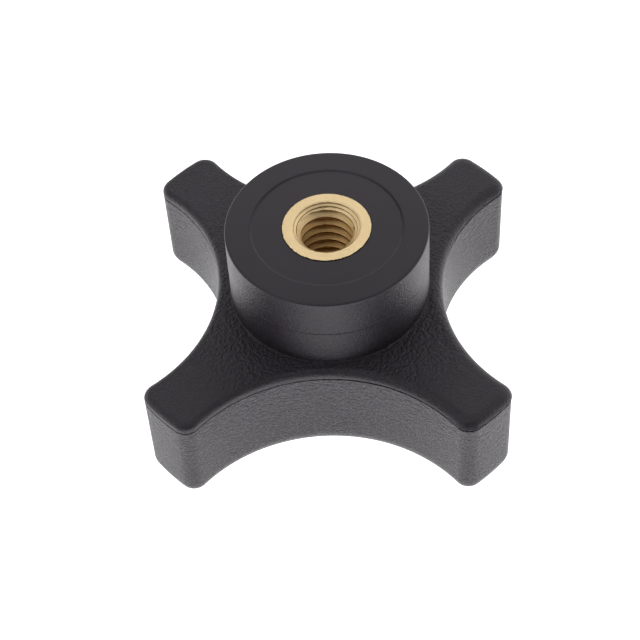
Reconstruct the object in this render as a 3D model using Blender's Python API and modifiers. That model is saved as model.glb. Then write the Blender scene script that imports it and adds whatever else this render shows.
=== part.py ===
"""Four-arm clamping knob: a moulded plastic body around a threaded brass bush.

The knob's axis is +Z. The origin is at the middle of the user-side face, which the knob rests on,
and the arms lie along X and Y. The boss, with the mouth of the bush, is at the top.
"""

import math

import bmesh
import bpy
from mathutils import Matrix, Vector

MM = 0.001

# Boss
BOSS_RADIUS = 12.7 * MM
KNOB_HEIGHT = 26.3 * MM
BOSS_RIM_CHAMFER = 0.2 * MM
BOSS_FOOT_RADIUS = 0.2 * MM
FACE_DISC_RADIUS = 9.4 * MM
FACE_DISC_DEPTH = 0.1 * MM

# Arms
ARM_THICKNESS = 15.35 * MM
TIP_RADIUS = 28.9 * MM
POCKET_RADIUS = 20.3 * MM
POCKET_CENTRE = 34.7 * MM
CORNER_RADIUS = 1.9 * MM
CORNER_TIGHTENING = 0.35
TOP_EDGE_RADIUS = 1.1 * MM
USER_EDGE_RADIUS = 3.0 * MM
WALL_DRAFT = math.radians(0.5)
ARM_COUNT = 4

# Threaded bush, 5/16-18 UNC, with its face level with the boss's rim
BUSH_TOP = KNOB_HEIGHT
BUSH_LENGTH = 16.0 * MM
BUSH_COLLAR_RADIUS = 5.55 * MM
BUSH_COLLAR_HEIGHT = 1.2 * MM
BUSH_NECK_RADIUS = 4.75 * MM
KNURL_CREST_RADIUS = 5.5 * MM
KNURL_ROOT_RADIUS = 5.2 * MM
KNURL_TEETH = 30
KNURL_BANDS = ((1.6 * MM, 7.2 * MM), (9.0 * MM, 15.6 * MM))
THREAD_PITCH = 25.4 * MM / 18
THREAD_MAJOR_RADIUS = 3.97 * MM
THREAD_MINOR_RADIUS = 3.27 * MM
THREAD_ROOT_WIDTH = THREAD_PITCH / 8
THREAD_FLANK_ANGLE = math.radians(30)
THREAD_DEPTH = 11.6 * MM
DRILL_DEPTH = 13.0 * MM
DRILL_POINT_ANGLE = math.radians(118)
COUNTERSINK_RADIUS = 4.3 * MM

# The gap kept between the bush and the plastic around it
SEAT_GAP = 0.3 * MM

# Fineness of the meshes
BOSS_SEGMENTS = 72
BUSH_SEGMENTS = 48
THREAD_SEGMENTS = 36
TIP_STEPS = 4
CORNER_STEPS = 4
POCKET_STEPS = 18
USER_EDGE_STEPS = 5
TOP_EDGE_STEPS = 3
FOOT_STEPS = 3

# How far a cutter reaches past the face it cuts, how far the tap's teeth reach into the hole,
# and how far one body sinks into another
OVERSHOOT = 1.0 * MM
TAP_REACH = 0.2 * MM
SINK = 0.03 * MM

PLASTIC_COLOUR = (0.022, 0.021, 0.024, 1.0)
BRASS_COLOUR = (0.80, 0.58, 0.27, 1.0)


def clear_scene():
    """Remove every object the file starts with."""
    for scene_object in list(bpy.data.objects):
        bpy.data.objects.remove(scene_object, do_unlink=True)


def new_collection(name):
    """Make a collection under the scene's own."""
    collection = bpy.data.collections.new(name)
    bpy.context.scene.collection.children.link(collection)
    return collection


def new_material(name, colour, roughness, metallic):
    """Make a material with one Principled shader."""
    material = bpy.data.materials.new(name)
    material.use_nodes = True
    shader = material.node_tree.nodes["Principled BSDF"]
    shader.inputs["Base Color"].default_value = colour
    shader.inputs["Roughness"].default_value = roughness
    shader.inputs["Metallic"].default_value = metallic
    return material


def object_from_bmesh(name, bm, collection):
    """Turn a bmesh into an object in the collection."""
    mesh = bpy.data.meshes.new(name)
    bm.to_mesh(mesh)
    bm.free()
    new_object = bpy.data.objects.new(name, mesh)
    collection.objects.link(new_object)
    return new_object


def mark_as_cutter(cutter):
    """Show a cutter as wire only."""
    cutter.hide_render = True
    cutter.display_type = "WIRE"


def add_boolean(target, operation, other):
    """Join the other object to the target, or cut the target with it."""
    modifier = target.modifiers.new(operation.lower() + "_" + other.name, "BOOLEAN")
    modifier.operation = operation
    modifier.solver = "EXACT"
    modifier.object = other


def finish_part(part, material):
    """Give a part its material, with smooth shading and sharp edges."""
    part.data.materials.append(material)
    part.data.shade_smooth()
    part.data.set_sharp_from_angle(angle=math.radians(35))


def polar(radius, angle):
    """A point in the XY plane."""
    return Vector((radius * math.cos(angle), radius * math.sin(angle)))


def arc(centre, radius, start, end, steps):
    """Points on an arc, from its start up to but not including its end."""
    sweep = (end - start) / steps
    return [centre + polar(radius, start + sweep * step) for step in range(steps)]


# ---------------------------------------------------------------- turned shapes


def turned(name, profile, segments, collection):
    """Turn a profile of (radius, height) points, from the top of the axis to its bottom."""
    bm = bmesh.new()
    corners = [bm.verts.new((radius, 0.0, height)) for radius, height in profile]
    for upper, lower in zip(corners, corners[1:]):
        bm.edges.new((upper, lower))
    turned_object = object_from_bmesh(name, bm, collection)
    screw = turned_object.modifiers.new("turn", "SCREW")
    screw.axis = "Z"
    screw.angle = 2 * math.pi
    screw.steps = segments
    screw.render_steps = segments
    screw.use_merge_vertices = True
    screw.merge_threshold = 0.000001
    return turned_object


def boss_profile():
    """The boss, with the shallow disc in its face and a small rounded foot."""
    disc_height = KNOB_HEIGHT - FACE_DISC_DEPTH
    foot_centre = ARM_THICKNESS + BOSS_FOOT_RADIUS - SINK
    foot_edge = BOSS_RADIUS + BOSS_FOOT_RADIUS
    profile = [
        (0.0, disc_height),
        (FACE_DISC_RADIUS, disc_height),
        (FACE_DISC_RADIUS, KNOB_HEIGHT),
        (BOSS_RADIUS - BOSS_RIM_CHAMFER, KNOB_HEIGHT),
        (BOSS_RADIUS, KNOB_HEIGHT - BOSS_RIM_CHAMFER),
    ]
    for step in range(FOOT_STEPS + 1):
        angle = 0.5 * math.pi * step / FOOT_STEPS
        radius = foot_edge - BOSS_FOOT_RADIUS * math.cos(angle)
        height = foot_centre - BOSS_FOOT_RADIUS * math.sin(angle)
        profile.append((radius, height))
    buried = ARM_THICKNESS - OVERSHOOT
    return profile + [(foot_edge, buried), (0.0, buried)]


def bush_core_profile():
    """The bush's plain collar, and the neck that its knurled bands stand on."""
    collar_bottom = BUSH_TOP - BUSH_COLLAR_HEIGHT
    bottom = BUSH_TOP - BUSH_LENGTH
    return [
        (0.0, BUSH_TOP),
        (BUSH_COLLAR_RADIUS, BUSH_TOP),
        (BUSH_COLLAR_RADIUS, collar_bottom),
        (BUSH_NECK_RADIUS, collar_bottom),
        (BUSH_NECK_RADIUS, bottom),
        (0.0, bottom),
    ]


def seat_profile():
    """The space in the plastic for the bush, with a rib left standing in the bush's groove."""
    wide = BUSH_COLLAR_RADIUS + SEAT_GAP
    narrow = BUSH_NECK_RADIUS + SEAT_GAP
    rib_top = BUSH_TOP - KNURL_BANDS[0][1] - SEAT_GAP
    rib_bottom = BUSH_TOP - KNURL_BANDS[1][0] + SEAT_GAP
    pilot = BUSH_TOP - KNURL_BANDS[1][1] - SEAT_GAP
    bottom = BUSH_TOP - BUSH_LENGTH - SEAT_GAP
    return [
        (0.0, KNOB_HEIGHT + OVERSHOOT),
        (wide, KNOB_HEIGHT + OVERSHOOT),
        (wide, rib_top),
        (narrow, rib_top),
        (narrow, rib_bottom),
        (wide, rib_bottom),
        (wide, pilot),
        (narrow, pilot),
        (narrow, bottom),
        (0.0, bottom),
    ]


def drill_profile():
    """The countersink, the tapping hole and its cone-shaped bottom."""
    countersink_depth = COUNTERSINK_RADIUS - THREAD_MINOR_RADIUS
    point_length = THREAD_MINOR_RADIUS / math.tan(DRILL_POINT_ANGLE / 2)
    return [
        (0.0, BUSH_TOP + OVERSHOOT),
        (COUNTERSINK_RADIUS + OVERSHOOT, BUSH_TOP + OVERSHOOT),
        (THREAD_MINOR_RADIUS, BUSH_TOP - countersink_depth),
        (THREAD_MINOR_RADIUS, BUSH_TOP - DRILL_DEPTH),
        (0.0, BUSH_TOP - DRILL_DEPTH - point_length),
    ]


# ---------------------------------------------------------------- arms


def arm_outline(inset):
    """The outline of the four arms, pulled in by inset, with corners that tighten as it shrinks."""
    tip = TIP_RADIUS - inset
    pocket = POCKET_RADIUS + inset
    rounding = CORNER_RADIUS - CORNER_TIGHTENING * inset
    reach = tip - rounding
    between = pocket + rounding
    half_turn = math.pi / ARM_COUNT
    cosine = (reach**2 + POCKET_CENTRE**2 - between**2) / (2 * reach * POCKET_CENTRE)
    corner_angle = half_turn - math.acos(cosine)
    corner = polar(reach, corner_angle)
    pocket_centre = polar(POCKET_CENTRE, half_turn)
    to_pocket = pocket_centre - corner
    facing = math.atan2(to_pocket.y, to_pocket.x)
    opposite = facing + math.pi
    mirrored = 2 * (half_turn + math.pi) - opposite
    next_corner = polar(reach, 2 * half_turn - corner_angle)
    outline = arc(Vector((0.0, 0.0)), tip, -corner_angle, corner_angle, TIP_STEPS)
    outline += arc(corner, rounding, corner_angle, facing, CORNER_STEPS)
    outline += arc(pocket_centre, pocket, opposite, mirrored, POCKET_STEPS)
    next_angle = 2 * half_turn - corner_angle
    outline += arc(next_corner, rounding, mirrored - math.pi, next_angle, CORNER_STEPS)
    turns = [Matrix.Rotation(2 * half_turn * arm, 2) for arm in range(ARM_COUNT)]
    return [turn @ point for turn in turns for point in outline]


def arm_levels():
    """Heights and insets of the outlines, from the user-side face to the top of the arms."""
    parting_height = ARM_THICKNESS - TOP_EDGE_RADIUS
    levels = []
    for step in range(USER_EDGE_STEPS + 1):
        angle = 0.5 * math.pi * step / USER_EDGE_STEPS
        height = USER_EDGE_RADIUS * (1 - math.cos(angle))
        draft = (parting_height - height) * math.tan(WALL_DRAFT)
        levels.append((height, draft + USER_EDGE_RADIUS * (1 - math.sin(angle))))
    for step in range(TOP_EDGE_STEPS + 1):
        angle = 0.5 * math.pi * step / TOP_EDGE_STEPS
        height = parting_height + TOP_EDGE_RADIUS * math.sin(angle)
        levels.append((height, TOP_EDGE_RADIUS * (1 - math.cos(angle))))
    return levels


def build_arms(name, collection):
    """Loft the arms through outlines that shrink towards both faces.

    The edge radius on the user side is larger than the corner radius, so a bevel can't round it.
    """
    bm = bmesh.new()
    rings = []
    for height, inset in arm_levels():
        rings.append([bm.verts.new((point.x, point.y, height)) for point in arm_outline(inset)])
    for lower, upper in zip(rings, rings[1:]):
        for index in range(len(lower)):
            following = (index + 1) % len(lower)
            bm.faces.new((lower[index], lower[following], upper[following], upper[index]))
    bm.faces.new(list(reversed(rings[0])))
    bm.faces.new(rings[-1])
    return object_from_bmesh(name, bm, collection)


# ---------------------------------------------------------------- bush details


def build_knurl_band(name, upper_depth, lower_depth, collection):
    """A band of straight knurling: a prism whose every second edge is pulled in."""
    height = lower_depth - upper_depth
    centre = BUSH_TOP - (upper_depth + lower_depth) / 2
    bm = bmesh.new()
    bmesh.ops.create_cone(
        bm,
        cap_ends=True,
        segments=2 * KNURL_TEETH,
        radius1=KNURL_CREST_RADIUS,
        radius2=KNURL_CREST_RADIUS,
        depth=height,
        matrix=Matrix.Translation((0.0, 0.0, centre)),
    )
    tooth_angle = math.pi / KNURL_TEETH
    for vertex in bm.verts:
        position = round(math.atan2(vertex.co.y, vertex.co.x) / tooth_angle)
        if position % 2:
            vertex.co.x *= KNURL_ROOT_RADIUS / KNURL_CREST_RADIUS
            vertex.co.y *= KNURL_ROOT_RADIUS / KNURL_CREST_RADIUS
    return object_from_bmesh(name, bm, collection)


def thread_tooth():
    """The section that the tap cuts, wide side towards the axis: (radius, height) points."""
    inner = THREAD_MINOR_RADIUS - TAP_REACH
    narrow = THREAD_ROOT_WIDTH / 2
    wide = narrow + (THREAD_MAJOR_RADIUS - inner) * math.tan(THREAD_FLANK_ANGLE)
    return [
        (inner, wide),
        (THREAD_MAJOR_RADIUS, narrow),
        (THREAD_MAJOR_RADIUS, -narrow),
        (inner, -wide),
    ]


def build_tap(name, collection):
    """A right-hand helix of the thread's tooth, from above the bush's face to the thread's end.

    It starts half a facet round from the drilled hole, so that no two edges of theirs meet.
    """
    start = BUSH_TOP - THREAD_DEPTH
    turns = math.ceil((THREAD_DEPTH + OVERSHOOT) / THREAD_PITCH)
    bm = bmesh.new()
    between_facets = math.pi / THREAD_SEGMENTS
    corners = []
    for radius, height in thread_tooth():
        across = polar(radius, between_facets)
        corners.append(bm.verts.new((across.x, across.y, start + height)))
    for index, corner in enumerate(corners):
        bm.edges.new((corner, corners[(index + 1) % len(corners)]))
    guide = object_from_bmesh(name + "_guide", bm, collection)
    screw = guide.modifiers.new("thread", "SCREW")
    screw.axis = "Z"
    screw.angle = 2 * math.pi
    screw.screw_offset = THREAD_PITCH
    screw.iterations = turns
    screw.steps = THREAD_SEGMENTS
    screw.render_steps = THREAD_SEGMENTS
    screw.use_merge_vertices = False
    depsgraph = bpy.context.evaluated_depsgraph_get()
    helix = bmesh.new()
    helix.from_object(guide, depsgraph)
    bpy.data.objects.remove(guide, do_unlink=True)
    bmesh.ops.remove_doubles(helix, verts=helix.verts, dist=0.000001)
    bmesh.ops.holes_fill(helix, edges=helix.edges, sides=0)
    bmesh.ops.recalc_face_normals(helix, faces=helix.faces)
    return object_from_bmesh(name, helix, collection)


# ---------------------------------------------------------------- parts


def build_knob_body(parts, cutters, material):
    """The one-piece moulding: four arms and the boss, with a seat for the bush."""
    body = build_arms("knob_body", parts)
    boss = turned("boss", boss_profile(), BOSS_SEGMENTS, cutters)
    seat = turned("bush_seat", seat_profile(), BUSH_SEGMENTS, cutters)
    mark_as_cutter(boss)
    mark_as_cutter(seat)
    add_boolean(body, "UNION", boss)
    add_boolean(body, "DIFFERENCE", seat)
    finish_part(body, material)


def build_threaded_insert(parts, cutters, material):
    """The brass bush: a turned core with knurled bands, drilled, countersunk and tapped."""
    insert = turned("threaded_insert", bush_core_profile(), BUSH_SEGMENTS, parts)
    for index, (upper_depth, lower_depth) in enumerate(KNURL_BANDS):
        band = build_knurl_band(f"knurl_{index + 1}", upper_depth, lower_depth, cutters)
        mark_as_cutter(band)
        add_boolean(insert, "UNION", band)
    drill = turned("drill", drill_profile(), THREAD_SEGMENTS, cutters)
    tap = build_tap("tap", cutters)
    for cutter in (drill, tap):
        mark_as_cutter(cutter)
        add_boolean(insert, "DIFFERENCE", cutter)
    finish_part(insert, material)


def build():
    """Build the knob."""
    clear_scene()
    parts = new_collection("four_arm_clamping_knob")
    cutters = new_collection("cutters")
    plastic = new_material("black_plastic", PLASTIC_COLOUR, 0.5, 0.0)
    brass = new_material("brass", BRASS_COLOUR, 0.3, 1.0)
    build_knob_body(parts, cutters, plastic)
    build_threaded_insert(parts, cutters, brass)


build()
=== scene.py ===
"""Looks of the four-arm clamping knob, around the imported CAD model."""

import math

import bmesh
import bpy
from mathutils import Matrix, Vector


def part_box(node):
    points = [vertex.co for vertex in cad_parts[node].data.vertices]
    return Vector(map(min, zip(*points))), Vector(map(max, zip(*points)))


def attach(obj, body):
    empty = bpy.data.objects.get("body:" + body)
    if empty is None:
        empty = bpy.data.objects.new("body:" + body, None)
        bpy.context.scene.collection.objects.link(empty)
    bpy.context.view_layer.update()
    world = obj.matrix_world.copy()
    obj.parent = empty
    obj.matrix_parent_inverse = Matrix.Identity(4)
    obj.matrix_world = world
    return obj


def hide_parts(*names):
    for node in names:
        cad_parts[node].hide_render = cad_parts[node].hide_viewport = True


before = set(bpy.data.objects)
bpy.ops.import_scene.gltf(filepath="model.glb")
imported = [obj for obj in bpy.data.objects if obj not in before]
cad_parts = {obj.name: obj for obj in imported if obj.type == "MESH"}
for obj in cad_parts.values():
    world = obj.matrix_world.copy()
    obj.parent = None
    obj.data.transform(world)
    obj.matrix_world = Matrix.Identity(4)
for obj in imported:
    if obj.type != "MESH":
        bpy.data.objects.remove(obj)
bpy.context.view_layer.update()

MM = 0.001

# ---------------------------------------------------------------- sizes from the frame
BODY_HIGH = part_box("knob_body")[1]
BUSH_LOW, BUSH_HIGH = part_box("threaded_insert")
KNOB_HEIGHT = BODY_HIGH[2]
TIP_RADIUS = BODY_HIGH[0]
BUSH_TOP = BUSH_HIGH[2]
BUSH_BOTTOM = BUSH_LOW[2]
COLLAR_RADIUS = BUSH_HIGH[0]

# ---------------------------------------------------------------- sizes of the design
# Boss
BOSS_RADIUS = 12.7 * MM
FACE_DISC_RADIUS = 9.4 * MM
FACE_DISC_DEPTH = 0.1 * MM
DISC_HEIGHT = KNOB_HEIGHT - FACE_DISC_DEPTH
BOSS_RIM_RADIUS = 0.2 * MM
BOSS_FOOT_RADIUS = 0.2 * MM

# Arms; their top edge is fullest where the parting line is open
ARM_THICKNESS = 15.35 * MM
POCKET_RADIUS = 20.3 * MM
POCKET_CENTRE = 34.7 * MM
CORNER_RADIUS = 1.9 * MM
CORNER_TIGHTENING = 0.35
TOP_EDGE_RADII = (0.65 * MM, 1.5 * MM)
USER_EDGE_RADIUS = 3.0 * MM
WALL_DRAFT = math.radians(0.5)

# Bush
SEAT_GAP = 0.03 * MM
COLLAR_HEIGHT = 1.2 * MM
NECK_RADIUS = 4.75 * MM
BUSH_BEVEL = 0.15 * MM
KNURL_BANDS = ((1.6 * MM, 7.2 * MM), (9.0 * MM, 15.6 * MM))
KNURL_TEETH = 36
KNURL_HEIGHT = 0.3 * MM
KNURL_CREST_RADIUS = 5.5 * MM
THREAD_PITCH = 25.4 * MM / 18
THREAD_MAJOR_RADIUS = 3.92 * MM
THREAD_MINOR_RADIUS = 3.27 * MM
THREAD_DEPTH = 11.6 * MM
DRILL_DEPTH = 13.0 * MM
DRILL_POINT_LENGTH = 1.96 * MM
COUNTERSINK_RADIUS = 4.3 * MM
COUNTERSINK_EDGE_BREAK = 0.06 * MM
CHATTER_HEIGHT = 0.045 * MM
CHATTER_PERIOD = 0.34 * MM
THREAD_CREST_SHARE = 0.16
THREAD_ROOT_SHARE = 0.14

# Marks that the mould leaves; the parting line is most open towards PARTING_OPEN
PARTING_DEPTH = 1.2 * MM
PARTING_STEP = 0.12 * MM
PARTING_HEIGHT = 0.24 * MM
PARTING_OPEN = math.radians(-41.34)
WITNESS_LINE_DEPTH = 5.55 * MM
WITNESS_GROOVE = 0.11 * MM
LIP_CLEARANCE = 0.08 * MM

# Fineness of the meshes
TIP_STEPS = 14
CORNER_STEPS = 12
POCKET_STEPS = 64
ROUNDING_STEPS = 10
BUSH_SEGMENTS = 144
ROWS_PER_PITCH = 24
MERGE_DISTANCE = 0.0005 * MM
BODY_SHARP_DEGREES = 38

# Colours, and the sizes and heights of the textures
NYLON_DARK = (0.0165, 0.0130, 0.0180, 1.0)
NYLON_LIGHT = (0.0225, 0.0180, 0.0245, 1.0)
# Paler wall colour: painted sheen on the walls
NYLON_WALL_SHEEN = (0.062, 0.054, 0.064, 1.0)
NYLON_SPECK = (0.25, 0.24, 0.26, 1.0)
# Colour of the darker ring just outside the face step
NYLON_STEP_RING = (0.003, 0.003, 0.003, 1.0)
NYLON_GLOSS = (0.98, 0.93, 1.0, 1.0)
BRASS_CLEAN = (1.0, 0.80, 0.47, 1.0)
# Darker brass, for random tarnish and for painted shade down the bore
BRASS_TARNISH_AND_SHADE = (0.62, 0.39, 0.16, 1.0)
BRASS_SMEAR = (0.07, 0.05, 0.035, 1.0)
MOTTLE_SIZE = 6.0 * MM
GRAIN_SIZE, GRAIN_HEIGHT = 0.3 * MM, 0.4 * MM
PEBBLE_SIZE, PEBBLE_HEIGHT = 0.4 * MM, 0.07 * MM
WRINKLE_SIZE, WRINKLE_HEIGHT = 0.8 * MM, 0.42 * MM
SPECK_SIZE = 0.26 * MM
TURNING_PITCH, TURNING_HEIGHT = 0.09 * MM, 0.002 * MM
BRASS_SPECKLE_SIZE, BRASS_SPECKLE_HEIGHT = 0.2 * MM, 0.08 * MM
TARNISH_SIZE = 0.35 * MM


# ---------------------------------------------------------------- geometry helpers


def polar(radius, angle):
    """A point in the XY plane."""
    return Vector((radius * math.cos(angle), radius * math.sin(angle)))


def arc(centre, radius, start, end, steps):
    """Points on an arc, from its start up to but not including its end."""
    sweep = (end - start) / steps
    return [centre + polar(radius, start + sweep * step) for step in range(steps)]


def arm_outline(inset):
    """The outline of the four arms, pulled in by inset, as part.py makes it but finer."""
    tip = TIP_RADIUS - inset
    pocket = POCKET_RADIUS + inset
    rounding = CORNER_RADIUS - CORNER_TIGHTENING * inset
    reach = tip - rounding
    between = pocket + rounding
    eighth = math.pi / 4
    cosine = (reach**2 + POCKET_CENTRE**2 - between**2) / (2 * reach * POCKET_CENTRE)
    corner_angle = eighth - math.acos(cosine)
    corner = polar(reach, corner_angle)
    pocket_centre = polar(POCKET_CENTRE, eighth)
    to_pocket = pocket_centre - corner
    facing = math.atan2(to_pocket.y, to_pocket.x)
    opposite = facing + math.pi
    mirrored = 2 * (eighth + math.pi) - opposite
    next_angle = 2 * eighth - corner_angle
    next_corner = polar(reach, next_angle)
    outline = arc(Vector((0.0, 0.0)), tip, -corner_angle, corner_angle, TIP_STEPS)
    outline += arc(corner, rounding, corner_angle, facing, CORNER_STEPS)
    outline += arc(pocket_centre, pocket, opposite, mirrored, POCKET_STEPS)
    outline += arc(next_corner, rounding, mirrored - math.pi, next_angle, CORNER_STEPS)
    turns = [Matrix.Rotation(2 * eighth * arm, 2) for arm in range(4)]
    return [turn @ point for turn in turns for point in outline]


def lift(points, height):
    """Points in the XY plane, raised to a height."""
    return [Vector((point.x, point.y, height)) for point in points]


def between_rings(inner, outer, share):
    """A ring part of the way from one ring to another."""
    return [a.lerp(b, share) for a, b in zip(inner, outer)]


def loft(rings, start, end):
    """A closed mesh through rings of equal length, closed by a point at either end."""
    bm = bmesh.new()
    rows = [[bm.verts.new(point) for point in ring] for ring in rings]
    first = bm.verts.new(start)
    last = bm.verts.new(end)
    count = len(rows[0])
    for index in range(count):
        following = (index + 1) % count
        bm.faces.new((first, rows[0][following], rows[0][index]))
        bm.faces.new((last, rows[-1][index], rows[-1][following]))
        for row, next_row in zip(rows, rows[1:]):
            bm.faces.new((row[index], row[following], next_row[following], next_row[index]))
    return bm


def object_from_bmesh(name, bm, sharp_degrees=30):
    """Turn a bmesh into a smooth-shaded object with sharp edges."""
    bmesh.ops.recalc_face_normals(bm, faces=bm.faces)
    mesh = bpy.data.meshes.new(name)
    bm.to_mesh(mesh)
    bm.free()
    mesh.shade_smooth()
    mesh.set_sharp_from_angle(angle=math.radians(sharp_degrees))
    new_object = bpy.data.objects.new(name, mesh)
    bpy.context.scene.collection.objects.link(new_object)
    return new_object


# ---------------------------------------------------------------- plastic body


def seat_turning():
    """(radius, height) of the hole in the plastic around the bush, from its bottom up."""
    wide = COLLAR_RADIUS + SEAT_GAP
    narrow = NECK_RADIUS + SEAT_GAP
    bottom = BUSH_BOTTOM - SEAT_GAP
    rib_bottom = BUSH_TOP - KNURL_BANDS[1][0] + SEAT_GAP
    rib_top = BUSH_TOP - KNURL_BANDS[0][1] - SEAT_GAP
    pilot = BUSH_TOP - KNURL_BANDS[1][1] - SEAT_GAP
    mouth = 0.05 * MM
    return [
        (narrow, bottom),
        (narrow, pilot),
        (wide, pilot),
        (wide, rib_bottom),
        (narrow, rib_bottom),
        (narrow, rib_top),
        (wide, rib_top),
        (wide, DISC_HEIGHT - mouth),
        (wide + mouth, DISC_HEIGHT),
    ]


def boss_turning():
    """(radius, height) over the boss, from the edge of the bush to its foot on the arms."""
    soft = 0.04 * MM
    line = KNOB_HEIGHT - WITNESS_LINE_DEPTH
    half_line = 0.08 * MM
    below_line = BOSS_RADIUS - 0.03 * MM
    turning = [
        (FACE_DISC_RADIUS - 3 * soft, DISC_HEIGHT),
        (FACE_DISC_RADIUS - soft, DISC_HEIGHT),
        (FACE_DISC_RADIUS, DISC_HEIGHT + soft / 2),
        (FACE_DISC_RADIUS + 3 * soft, KNOB_HEIGHT - soft / 2),
        (FACE_DISC_RADIUS + 4 * soft, KNOB_HEIGHT),
        (FACE_DISC_RADIUS + 6 * soft, KNOB_HEIGHT),
        (BOSS_RADIUS - BOSS_RIM_RADIUS - 3 * soft, KNOB_HEIGHT),
    ]
    rim_steps = 5
    for step in range(rim_steps + 1):
        angle = 0.5 * math.pi * (1 - step / rim_steps)
        radius = BOSS_RADIUS - BOSS_RIM_RADIUS * (1 - math.cos(angle))
        turning.append((radius, KNOB_HEIGHT - BOSS_RIM_RADIUS * (1 - math.sin(angle))))
    turning += [
        (BOSS_RADIUS, KNOB_HEIGHT - BOSS_RIM_RADIUS - 3 * soft),
        (BOSS_RADIUS, line + 2 * half_line),
        (BOSS_RADIUS, line + half_line),
        (BOSS_RADIUS - WITNESS_GROOVE, line),
        (below_line, line - half_line),
        (below_line, line - 2 * half_line),
    ]
    foot_steps = 4
    foot_radius = below_line + BOSS_FOOT_RADIUS
    foot_height = ARM_THICKNESS + BOSS_FOOT_RADIUS
    for step in range(foot_steps + 1):
        angle = 0.5 * math.pi * step / foot_steps
        radius = foot_radius - BOSS_FOOT_RADIUS * math.cos(angle)
        turning.append((radius, foot_height - BOSS_FOOT_RADIUS * math.sin(angle)))
    return turning


def parting_share(point):
    """How open the parting line is: widest towards PARTING_OPEN, nearly shut on the far side."""
    along = (point.x * math.cos(PARTING_OPEN) + point.y * math.sin(PARTING_OPEN)) / TIP_RADIUS
    share = min(max(0.3 + 1.1 * along, 0.0), 1.0)
    return 0.22 + 0.78 * share * share * (3 - 2 * share)


def top_edge_rings():
    """The rounded edge round the arms' top, down to the lip over the parting line."""
    lip = PARTING_DEPTH - LIP_CLEARANCE
    rings = []
    for step in range(ROUNDING_STEPS + 1):
        pair = []
        for radius in TOP_EDGE_RADII:
            lowest = math.asin(max(1 - lip / radius, 0.0))
            angle = 0.5 * math.pi + (lowest - 0.5 * math.pi) * step / ROUNDING_STEPS
            height = ARM_THICKNESS - radius * (1 - math.sin(angle))
            pair.append(lift(arm_outline(radius * (1 - math.cos(angle))), height))
        rings.append([a.lerp(b, parting_share(a)) for a, b in zip(*pair)])
    return rings


def wall_rings():
    """The step under the lip, the drafted walls and the larger edge on the user side.

    Each level is a height and how many parting steps it stands in where the line is open.
    """
    top = ARM_THICKNESS - PARTING_DEPTH
    wall_step = 0.8
    levels = [
        (top + 0.06 * MM, 0.6),
        (top + 0.02 * MM, 0.6),
        (top, 0.9),
        (top - 0.01 * MM, 3.0),
        (top - PARTING_HEIGHT, 3.0),
        (top - 1.1 * PARTING_HEIGHT, 1.0),
        (top - 1.3 * PARTING_HEIGHT, wall_step),
    ]
    wall_top = top - 2.5 * PARTING_HEIGHT
    wall_steps = 12
    for step in range(wall_steps):
        levels.append((wall_top + (USER_EDGE_RADIUS - wall_top) * step / wall_steps, wall_step))
    user_steps = 2 * ROUNDING_STEPS
    for step in range(user_steps + 1):
        angle = 0.5 * math.pi * step / user_steps
        levels.append((USER_EDGE_RADIUS * (1 - math.sin(angle)), wall_step * math.cos(angle)))
    rings = []
    for height, steps_in in levels:
        draft = max(top - height, 0.0) * math.tan(WALL_DRAFT)
        edge_height = min(height / USER_EDGE_RADIUS, 1.0)
        rounding = USER_EDGE_RADIUS * (1 - math.sqrt(1 - (1 - edge_height) ** 2))
        shut = arm_outline(rounding + draft)
        opened = arm_outline(rounding + draft + PARTING_STEP * steps_in)
        ring = [a.lerp(b, parting_share(a)) for a, b in zip(shut, opened)]
        rings.append(lift(ring, height))
    return rings


def build_body():
    """The moulding, as one loft from the seat of the bush, over the boss and round the arms."""
    angles = [math.atan2(point.y, point.x) for point in arm_outline(0.0)]

    def circle(radius, height):
        return lift([polar(radius, angle) for angle in angles], height)

    rings = [circle(radius, height) for radius, height in seat_turning() + boss_turning()]
    top_edge = top_edge_rings()
    foot = rings[-1]
    arm_top_shares = (0.03, 0.15, 0.35, 0.6, 0.85, 0.97)
    rings += [between_rings(foot, top_edge[0], share) for share in arm_top_shares]
    rings += top_edge
    rings += wall_rings()
    rim = rings[-1]
    round_gate = circle(4.0 * MM, 0.0)
    rings += [between_rings(rim, round_gate, share) for share in (0.03, 0.15, 0.4, 0.7, 1.0)]
    gate_mark = [(1.7, 0.0), (1.6, 0.05), (1.55, 0.2), (0.8, 0.2), (0.7, 0.08)]
    rings += [circle(radius * MM, height * MM) for radius, height in gate_mark]
    start = (0.0, 0.0, rings[0][0].z)
    end = (0.0, 0.0, rings[-1][0].z)
    return object_from_bmesh("moulded_body", loft(rings, start, end), BODY_SHARP_DEGREES)


# ---------------------------------------------------------------- brass bush


def thread_radius(phase):
    """The thread's radius at a phase of 0 to 1 along one pitch, with a small crest and root."""
    height = abs(2 * (phase % 1.0) - 1)
    slope = (height - THREAD_CREST_SHARE) / (1 - THREAD_CREST_SHARE - THREAD_ROOT_SHARE)
    slope = min(max(slope, 0.0), 1.0)
    return THREAD_MINOR_RADIUS + (THREAD_MAJOR_RADIUS - THREAD_MINOR_RADIUS) * slope


def bore_radius(angle, depth):
    """The radius of the tapped, countersunk hole at an angle and a depth below the bush's face."""
    phase = -depth / THREAD_PITCH - angle / (2 * math.pi)
    run_out = min(max((THREAD_DEPTH - depth) / (1.5 * THREAD_PITCH), 0.0), 1.0)
    threaded = THREAD_MINOR_RADIUS + (thread_radius(phase) - THREAD_MINOR_RADIUS) * run_out
    chatter = CHATTER_HEIGHT * math.sin(2 * math.pi * depth / CHATTER_PERIOD)
    cone = COUNTERSINK_RADIUS - depth + max(COUNTERSINK_EDGE_BREAK - depth, 0.0) - chatter
    return max(threaded, cone)


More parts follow.
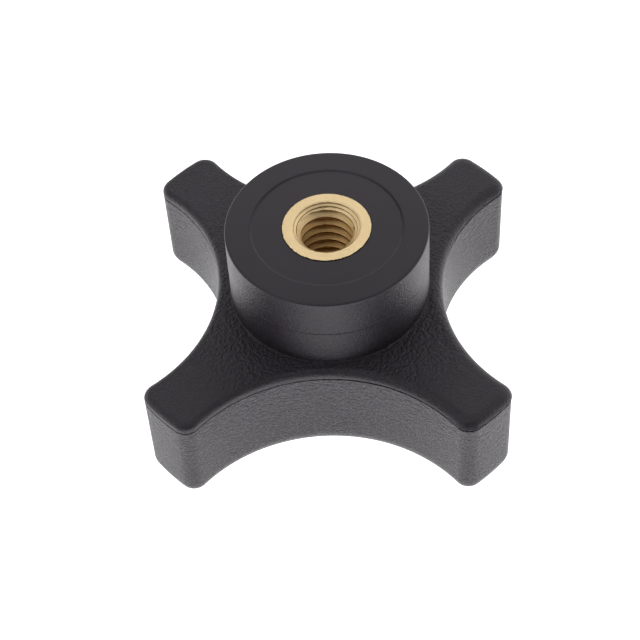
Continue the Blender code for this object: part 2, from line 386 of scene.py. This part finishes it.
def bore_rows():
    """Rows of points down the bore that follow the thread, so that its crests stay clean."""
    turn = [2 * math.pi * index / BUSH_SEGMENTS for index in range(BUSH_SEGMENTS)]
    count = math.ceil(DRILL_DEPTH / THREAD_PITCH + 1) * ROWS_PER_PITCH
    rows = []
    for row in range(count + 1):
        points = []
        for angle in turn:
            along = row * THREAD_PITCH / ROWS_PER_PITCH - THREAD_PITCH * angle / (2 * math.pi)
            depth = min(max(along, 0.0), DRILL_DEPTH)
            across = polar(bore_radius(angle, depth), angle)
            points.append(Vector((across.x, across.y, BUSH_TOP - depth)))
        rows.append(points)
    return rows


def knurled_ring(crest, depth):
    """A ring of knurl teeth round the bush."""
    points = []
    per_tooth = BUSH_SEGMENTS // KNURL_TEETH
    for index in range(BUSH_SEGMENTS):
        share = abs(2 * (index % per_tooth) / per_tooth - 1)
        across = polar(crest - KNURL_HEIGHT * share, 2 * math.pi * index / BUSH_SEGMENTS)
        points.append(Vector((across.x, across.y, BUSH_TOP - depth)))
    return points


def bush_outside():
    """Rings over the outside of the bush, from its bottom to the edge of its face."""

    def plain(radius, depth):
        facet = 2 * math.pi / BUSH_SEGMENTS
        turn = [polar(radius, facet * index) for index in range(BUSH_SEGMENTS)]
        return lift(turn, BUSH_TOP - depth)

    length = BUSH_TOP - BUSH_BOTTOM
    rings = [plain(NECK_RADIUS - BUSH_BEVEL, length), plain(NECK_RADIUS, length - BUSH_BEVEL)]
    for upper, lower in reversed(KNURL_BANDS):
        rings += [
            plain(NECK_RADIUS, lower),
            knurled_ring(KNURL_CREST_RADIUS - BUSH_BEVEL, lower),
            knurled_ring(KNURL_CREST_RADIUS, lower - BUSH_BEVEL),
            knurled_ring(KNURL_CREST_RADIUS, upper + BUSH_BEVEL),
            knurled_ring(KNURL_CREST_RADIUS - BUSH_BEVEL, upper),
            plain(NECK_RADIUS, upper),
        ]
    edge = 0.04 * MM
    rings += [
        plain(NECK_RADIUS, COLLAR_HEIGHT),
        plain(COLLAR_RADIUS, COLLAR_HEIGHT),
        plain(COLLAR_RADIUS, edge),
        plain(COLLAR_RADIUS - edge, 0.0),
        plain(COLLAR_RADIUS - 3 * edge, 0.0),
    ]
    rings.append(plain(COUNTERSINK_RADIUS + COUNTERSINK_EDGE_BREAK + 2 * edge, 0.0))
    return rings


def build_bush():
    """The brass bush: knurled outside, faced end, countersunk and tapped hole."""
    bm = bmesh.new()
    outside = [[bm.verts.new(point) for point in ring] for ring in bush_outside()]
    bore = [[bm.verts.new(point) for point in row] for row in bore_rows()]
    foot = bm.verts.new((0.0, 0.0, BUSH_BOTTOM))
    drill_point = bm.verts.new((0.0, 0.0, BUSH_TOP - DRILL_DEPTH - DRILL_POINT_LENGTH))
    count = BUSH_SEGMENTS
    for index in range(count):
        following = (index + 1) % count
        # A row drops by a pitch in a turn, so the last column joins the first one a pitch lower
        turned_past = ROWS_PER_PITCH if following == 0 else 0
        bm.faces.new((foot, outside[0][following], outside[0][index]))
        for ring, next_ring in zip(outside, outside[1:]):
            bm.faces.new((ring[index], ring[following], next_ring[following], next_ring[index]))
        mouth = (outside[-1][index], outside[-1][following])
        bm.faces.new((*mouth, bore[0][following], bore[0][index]))
        if turned_past:
            bm.faces.new((bore[0][index], bore[0][following], bore[turned_past][index]))
        for row in range(turned_past, len(bore) - 1):
            left = (bore[row][index], bore[row + 1][index])
            right = (bore[row - turned_past][following], bore[row + 1 - turned_past][following])
            bm.faces.new((left[0], *right, left[1]))
        bm.faces.new((bore[-1][index], bore[-1][following], drill_point))
    bmesh.ops.remove_doubles(bm, verts=bm.verts, dist=MERGE_DISTANCE)
    return object_from_bmesh("brass_bush", bm)


# ---------------------------------------------------------------- materials


class Nodes:
    """Short calls that add nodes to one material."""

    def __init__(self, name):
        self.material = bpy.data.materials.new(name)
        self.material.use_nodes = True
        self.tree = self.material.node_tree
        self.shader = self.tree.nodes["Principled BSDF"]
        self.place = self.tree.nodes.new("ShaderNodeTexCoord").outputs["Object"]

    def link(self, value, socket):
        """Link an output, or set a number, on a socket."""
        if hasattr(value, "is_output"):
            self.tree.links.new(value, socket)
        else:
            socket.default_value = value

    def math(self, operation, first, second=0.0, third=0.0):
        """A Math node's output."""
        node = self.tree.nodes.new("ShaderNodeMath")
        node.operation = operation
        for value, socket in zip((first, second, third), node.inputs):
            self.link(value, socket)
        return node.outputs[0]

    def smooth_step(self, value, low, high, to_low=0.0, to_high=1.0):
        """A value mapped smoothly from one range to another."""
        node = self.tree.nodes.new("ShaderNodeMapRange")
        node.interpolation_type = "SMOOTHSTEP"
        node.inputs["From Min"].default_value = low
        node.inputs["From Max"].default_value = high
        node.inputs["To Min"].default_value = to_low
        node.inputs["To Max"].default_value = to_high
        self.link(value, node.inputs["Value"])
        return node.outputs["Result"]

    def noise(self, size, detail=2.0, roughness=0.5, place=None):
        """Noise with features of about the given size in metres."""
        node = self.tree.nodes.new("ShaderNodeTexNoise")
        node.inputs["Scale"].default_value = 1.0 / size
        node.inputs["Detail"].default_value = detail
        node.inputs["Roughness"].default_value = roughness
        self.link(place or self.place, node.inputs["Vector"])
        return node.outputs["Fac"]

    def pebbles(self, size):
        """Rounded pebbles about the given size in metres apart, with dents between them."""
        return self.smooth_step(self.noise(size, 1.0, 0.4), 0.36, 0.6)

    def stretched_place(self, scale):
        """The object's coordinates, scaled by axis."""
        node = self.tree.nodes.new("ShaderNodeVectorMath")
        node.operation = "MULTIPLY"
        self.link(self.place, node.inputs[0])
        node.inputs[1].default_value = scale
        return node.outputs[0]

    def radius_and_height(self):
        """Distance from the knob's axis, and height above the user-side face."""
        node = self.tree.nodes.new("ShaderNodeSeparateXYZ")
        self.link(self.place, node.inputs[0])
        x, y, z = node.outputs
        squares = self.math("ADD", self.math("MULTIPLY", x, x), self.math("MULTIPLY", y, y))
        return self.math("SQRT", squares), z

    def facing_up(self):
        """1 on faces that face up, 0 on walls, from the true normal of the object."""
        coordinates = self.tree.nodes.new("ShaderNodeTexCoord")
        node = self.tree.nodes.new("ShaderNodeSeparateXYZ")
        self.link(coordinates.outputs["Normal"], node.inputs[0])
        return self.smooth_step(node.outputs["Z"], 0.5, 0.9)

    def mix_colours(self, share, first, second):
        """Two colours mixed."""
        node = self.tree.nodes.new("ShaderNodeMix")
        node.data_type = "RGBA"
        self.link(share, node.inputs["Factor"])
        self.link(first, node.inputs[6])
        self.link(second, node.inputs[7])
        return node.outputs[2]

    def bump(self, height, distance, strength=1.0, normal=None):
        """A bumped normal; height 1 stands distance metres above height 0."""
        node = self.tree.nodes.new("ShaderNodeBump")
        node.inputs["Distance"].default_value = distance
        self.link(height, node.inputs["Height"])
        self.link(strength, node.inputs["Strength"])
        if normal is not None:
            self.link(normal, node.inputs["Normal"])
        return node.outputs["Normal"]


def plastic_material():
    """Charcoal nylon: fine grain, pebbles by the boss, wrinkled walls painted paler as painted
    sheen, a smoother face.
    """
    nodes = Nodes("textured_nylon")
    radius, height = nodes.radius_and_height()

    # Where each finish lies
    up = nodes.facing_up()
    sideways = nodes.math("SUBTRACT", 1.0, up)
    on_face = nodes.smooth_step(height, KNOB_HEIGHT - 0.35 * MM, KNOB_HEIGHT - 0.2 * MM)
    textured = nodes.math("SUBTRACT", 1.0, on_face)
    parting = ARM_THICKNESS - PARTING_DEPTH
    below_line = nodes.smooth_step(height, parting - 0.05 * MM, parting + 0.15 * MM, 1.0, 0.0)
    on_wall = nodes.math("MULTIPLY", sideways, below_line)
    on_boss_side = nodes.math("MULTIPLY", sideways, nodes.math("SUBTRACT", textured, below_line))
    by_boss = nodes.smooth_step(radius, 16.0 * MM, 25.0 * MM, 1.0, 0.0)
    pebbled = nodes.math("MULTIPLY", nodes.math("MULTIPLY", by_boss, up), textured)
    # The walls are wrinkled and painted paler, most towards the parting line; the paleness is
    # painted sheen
    by_parting = nodes.smooth_step(height, 4.0 * MM, 13.0 * MM, 0.1, 1.0)
    wall_wrinkles_and_sheen = nodes.math("MULTIPLY", by_parting, on_wall)

    # Relief
    grain_share = nodes.math("MULTIPLY_ADD", textured, 0.3, 0.02)
    grain_share = nodes.math("MULTIPLY_ADD", on_wall, 0.6, grain_share)
    grain_share = nodes.math("MULTIPLY_ADD", on_boss_side, 0.12, grain_share)
    normal = nodes.bump(nodes.noise(GRAIN_SIZE, 2.0, 0.7), GRAIN_HEIGHT, grain_share)
    normal = nodes.bump(nodes.pebbles(PEBBLE_SIZE), PEBBLE_HEIGHT, pebbled, normal)
    wrinkles = nodes.noise(WRINKLE_SIZE, 3.0, 0.6, nodes.stretched_place((1.0, 1.0, 1.7)))
    normal = nodes.bump(wrinkles, WRINKLE_HEIGHT, wall_wrinkles_and_sheen, normal)

    # Colour
    mottle = nodes.noise(MOTTLE_SIZE, 4.0, 0.55)
    colour = nodes.mix_colours(mottle, NYLON_DARK, NYLON_LIGHT)
    # Painted sheen: the walls are painted paler, fading downwards from the parting line
    colour = nodes.mix_colours(nodes.math("MULTIPLY", wall_wrinkles_and_sheen, 0.8), colour, NYLON_WALL_SHEEN)
    specks = nodes.smooth_step(nodes.noise(SPECK_SIZE, 2.0, 0.6), 0.45, 0.68)
    speck_share = nodes.math("MULTIPLY_ADD", on_wall, 0.26, nodes.math("MULTIPLY", textured, 0.03))
    colour = nodes.mix_colours(nodes.math("MULTIPLY", specks, speck_share), colour, NYLON_SPECK)
    # A darker ring painted on the face just outside the step of the face disc
    disc = FACE_DISC_RADIUS
    past_step = nodes.smooth_step(radius, disc - 0.05 * MM, disc + 0.1 * MM)
    before_ring = nodes.smooth_step(radius, disc + 0.2 * MM, disc + 0.4 * MM, 1.0, 0.0)
    step_ring = nodes.math("MULTIPLY", nodes.math("MULTIPLY", past_step, before_ring), on_face)
    colour = nodes.mix_colours(nodes.math("MULTIPLY", step_ring, 0.6), colour, NYLON_STEP_RING)

    # Gloss
    roughness = nodes.math("MULTIPLY_ADD", mottle, 0.08, 0.42)
    roughness = nodes.math("MULTIPLY_ADD", on_face, -0.06, roughness)
    roughness = nodes.math("MULTIPLY_ADD", on_boss_side, -0.08, roughness)
    roughness = nodes.math("MULTIPLY_ADD", on_wall, -0.12, roughness)

    nodes.link(colour, nodes.shader.inputs["Base Color"])
    nodes.link(roughness, nodes.shader.inputs["Roughness"])
    nodes.link(normal, nodes.shader.inputs["Normal"])
    nodes.shader.inputs["IOR"].default_value = 1.5
    nodes.shader.inputs["Specular Tint"].default_value = NYLON_GLOSS
    return nodes.material


def brass_material():
    """Bare machined brass: turning rings, fine speckle, random tarnish, painted shade down the
    bore, and dark plastic smeared on its edge.
    """
    nodes = Nodes("machined_brass")
    radius, height = nodes.radius_and_height()
    up = nodes.facing_up()

    # Relief
    rings = nodes.math("SINE", nodes.math("MULTIPLY", radius, 2 * math.pi / TURNING_PITCH))
    normal = nodes.bump(rings, TURNING_HEIGHT, nodes.math("MULTIPLY", up, 0.6))
    speckle = nodes.noise(BRASS_SPECKLE_SIZE, 3.0, 0.7)
    normal = nodes.bump(speckle, BRASS_SPECKLE_HEIGHT, 0.8, normal)

    # Colour
    tarnish = nodes.noise(TARNISH_SIZE, 4.0, 0.8)
    # Painted shade: the brass is painted darker and more orange further down the bore
    bore_shade = nodes.smooth_step(height, BUSH_TOP - 3.0 * MM, BUSH_TOP - 0.5 * MM, 0.9, 0.0)
    share = nodes.math("ADD", nodes.math("MULTIPLY", tarnish, 0.4), bore_shade)
    colour = nodes.mix_colours(share, BRASS_CLEAN, BRASS_TARNISH_AND_SHADE)
    ragged = nodes.math("MULTIPLY_ADD", nodes.noise(0.5 * MM, 3.0, 0.6), 0.3 * MM, radius)
    smear = nodes.smooth_step(ragged, COLLAR_RADIUS + 0.1 * MM, COLLAR_RADIUS + 0.14 * MM)
    colour = nodes.mix_colours(smear, colour, BRASS_SMEAR)

    nodes.link(colour, nodes.shader.inputs["Base Color"])
    nodes.link(nodes.math("MULTIPLY_ADD", up, 0.12, 0.26), nodes.shader.inputs["Roughness"])
    nodes.link(normal, nodes.shader.inputs["Normal"])
    nodes.shader.inputs["Metallic"].default_value = 1.0
    return nodes.material


# ---------------------------------------------------------------- camera, floor and light

CAMERA_AZIMUTH = math.radians(-41.34)
CAMERA_ELEVATION = math.radians(48.2)
CAMERA_DISTANCE = 262.5 * MM
CAMERA_AIM = Vector((-3.84, -2.03, 13.15)) * MM
CAMERA_ROLL = math.radians(-3.79)
CAMERA_LENS = 119.35

# How bright the floor is, and how bright the studio round it is to all but the camera
FLOOR_GLOW = 1.5
STUDIO_LIGHT = 0.04
FLOOR_HALF_SIDE = 3.0
FLOOR_DROP = 0.05 * MM
SOFTBOX_DISTANCE = 1.0

# Name: azimuth from the camera's and elevation in degrees, width and height in metres, brightness
SOFTBOXES = {
    "right": (90, 32, 0.7, 0.45, 1.15),
    "right_low": (85, 12, 0.7, 0.3, 0.5),
    "right_back": (135, 25, 0.75, 0.75, 1.1),
    "back": (180, 32, 0.7, 0.45, 2.0),
    "left_back": (225, 10, 0.8, 0.35, 1.5),
    "left_low": (275, 16, 0.7, 0.3, 0.8),
    "left": (270, 32, 0.7, 0.45, 0.8),
    "high_front_right": (60, 57, 0.6, 0.45, 0.6),
    "high_front_left": (300, 57, 0.6, 0.45, 1.3),
    "high_left_back": (240, 57, 0.6, 0.45, 0.3),
    "overhead": (0, 89, 0.75, 0.75, 0.9),
}


def around(azimuth, elevation, distance):
    """A point round the boss face; a camera at azimuth 0 stands towards -Y and looks along +Y."""
    across = math.cos(elevation)
    level = Vector((math.sin(azimuth), -math.cos(azimuth), 0.0))
    direction = level * across + Vector((0.0, 0.0, math.sin(elevation)))
    return Vector((0.0, 0.0, KNOB_HEIGHT)) + direction * distance


def make_camera():
    """The camera at the photograph's angle: a long lens above the knob, rolled a little."""
    data = bpy.data.cameras.new("camera")
    data.lens = CAMERA_LENS
    data.sensor_width = 36.0
    data.clip_start = 10 * MM
    data.clip_end = 5.0
    camera = bpy.data.objects.new("camera", data)
    camera.location = around(CAMERA_AZIMUTH, CAMERA_ELEVATION, CAMERA_DISTANCE)
    look = (CAMERA_AIM - camera.location).to_track_quat("-Z", "Y")
    turned = look.to_matrix() @ Matrix.Rotation(CAMERA_ROLL, 3, "Z")
    camera.rotation_euler = turned.to_euler()
    bpy.context.scene.collection.objects.link(camera)
    bpy.context.scene.camera = camera


def make_floor():
    """A plain white floor, lit from within like a light table."""
    bm = bmesh.new()
    bmesh.ops.create_grid(bm, x_segments=1, y_segments=1, size=FLOOR_HALF_SIDE)
    floor = object_from_bmesh("floor", bm)
    floor.location = (0.0, 0.0, -FLOOR_DROP)
    material = bpy.data.materials.new("floor_white")
    material.use_nodes = True
    shader = material.node_tree.nodes["Principled BSDF"]
    shader.inputs["Base Color"].default_value = (0.0, 0.0, 0.0, 1.0)
    shader.inputs["Specular IOR Level"].default_value = 0.0
    shader.inputs["Emission Color"].default_value = (1.0, 1.0, 1.0, 1.0)
    shader.inputs["Emission Strength"].default_value = FLOOR_GLOW
    floor.data.materials.append(material)


def make_softboxes():
    """Evenly bright panels that face the knob from a metre away."""
    for name, (azimuth, elevation, width, height, brightness) in SOFTBOXES.items():
        data = bpy.data.lights.new(name, "AREA")
        data.shape = "RECTANGLE"
        data.size = width
        data.size_y = height
        data.energy = math.pi * width * height * brightness
        light = bpy.data.objects.new(name, data)
        turned = CAMERA_AZIMUTH + math.radians(azimuth)
        light.location = around(turned, math.radians(elevation), SOFTBOX_DISTANCE)
        aim = Vector((0.0, 0.0, KNOB_HEIGHT / 2)) - light.location
        light.rotation_euler = aim.to_track_quat("-Z", "Y").to_euler()
        light.visible_camera = False
        bpy.context.scene.collection.objects.link(light)


def make_world():
    """A white studio to look at, which sheds only a little light on the knob."""
    world = bpy.data.worlds.new("studio")
    world.use_nodes = True
    tree = world.node_tree
    background = tree.nodes["Background"]
    background.inputs["Color"].default_value = (1.0, 1.0, 1.0, 1.0)
    paths = tree.nodes.new("ShaderNodeLightPath")
    strength = tree.nodes.new("ShaderNodeMapRange")
    strength.inputs["To Min"].default_value = STUDIO_LIGHT
    strength.inputs["To Max"].default_value = FLOOR_GLOW
    tree.links.new(paths.outputs["Is Camera Ray"], strength.inputs["Value"])
    tree.links.new(strength.outputs["Result"], background.inputs["Strength"])
    bpy.context.scene.world = world
    bpy.context.scene.view_settings.view_transform = "Standard"


# ---------------------------------------------------------------- the knob


def place_piece(piece, node, material):
    """Give a piece its material and its body, and hide the CAD node that it stands for."""
    piece.data.materials.append(material)
    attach(piece, "root")
    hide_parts(node)


make_camera()
make_floor()
make_softboxes()
make_world()
place_piece(build_body(), "knob_body", plastic_material())
place_piece(build_bush(), "threaded_insert", brass_material())
